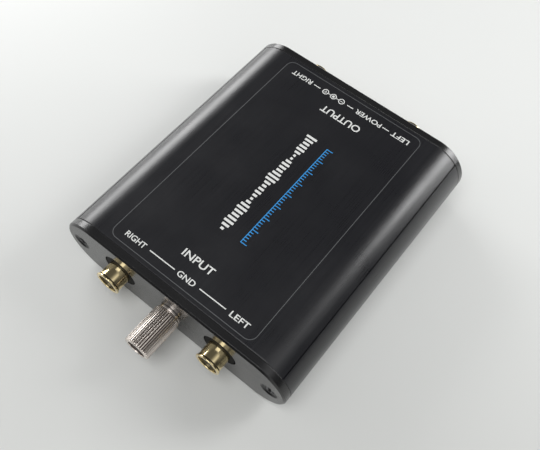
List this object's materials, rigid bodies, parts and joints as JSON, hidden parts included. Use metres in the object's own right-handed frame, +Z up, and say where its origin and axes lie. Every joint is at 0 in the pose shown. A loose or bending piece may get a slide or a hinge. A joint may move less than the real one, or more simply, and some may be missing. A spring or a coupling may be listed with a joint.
{
  "type": "phono preamp",
  "caption": "Flat phono equaliser amplifier: black extruded case with rounded sides, end plates, gold phono jacks, power inlet and a knurled ground thumb nut that unscrews.",
  "frame": {"origin": "centre of the case's flat underside", "axes": "+Z up, +Y from the input end to the output end, +X to the left channel's jacks"},
  "size_m": [0.09, 0.1232, 0.025],
  "materials": {
    "case_black": "black anodised, fine satin",
    "plate_black": "black anodised, smooth satin",
    "screw_black": "black oxide",
    "gold": "gold plated, polished",
    "nickel": "nickel plated",
    "jack_black": "moulded, fine matt",
    "insulator_black": "moulded, smooth",
    "steel": "zinc plated",
    "tinned": "tinned",
    "board_green": "glass laminate with solder mask",
    "chip_black": "moulded epoxy",
    "can_aluminium": "drawn, satin",
    "film_grey": "moulded case",
    "resistor_black": "glazed chip"
  },
  "bodies": {
    "case": {"case_shell": "case_black", "front_plate": "plate_black", "rear_plate": "plate_black", "front_plate_screws": "screw_black", "rear_plate_screws": "screw_black", "circuit_board": "board_green", "input_right_jack_body": "jack_black", "input_right_jack_barrel": "gold", "input_right_jack_insulator": "insulator_black", "input_right_jack_contact": "gold", "input_left_jack_body": "jack_black", "input_left_jack_barrel": "gold", "input_left_jack_insulator": "insulator_black", "input_left_jack_contact": "gold", "output_right_jack_body": "jack_black", "output_right_jack_barrel": "gold", "output_right_jack_insulator": "insulator_black", "output_right_jack_contact": "gold", "output_left_jack_body": "jack_black", "output_left_jack_barrel": "gold", "output_left_jack_insulator": "insulator_black", "output_left_jack_contact": "gold", "power_jack_body": "jack_black", "power_jack_pin": "nickel", "power_jack_spring": "tinned", "ground_screw": "steel", "ground_star_washer": "steel", "ground_lug": "tinned", "right_amplifier_chip": "chip_black", "left_amplifier_chip": "chip_black", "voltage_inverter_chip": "chip_black", "voltage_regulator": "chip_black", "supply_diode": "chip_black", "capacitor_cans": "can_aluminium", "capacitor_bases": "chip_black", "film_capacitors": "film_grey", "chip_resistors": "resistor_black"},
    "ground_washer": {"ground_washer": "nickel"},
    "thumb_nut": {"ground_thumb_nut": "nickel"}
  },
  "joints": [
    {"name": "ground_washer_slide", "type": "slide", "parent": "case", "child": "ground_washer", "axis": [0, -1, 0], "range_m": [0, 0.0091]},
    {"name": "thumb_nut_turn", "type": "hinge", "parent": "ground_washer", "child": "thumb_nut", "pos_m": [0, -0.0589, 0.0125], "axis": [0, -1, 0], "range_deg": [0, 4680]}
  ],
  "couplings": [
    {"joint": "thumb_nut_turn", "follows": "ground_washer_slide", "rad_per_m": 8976}
  ]
}
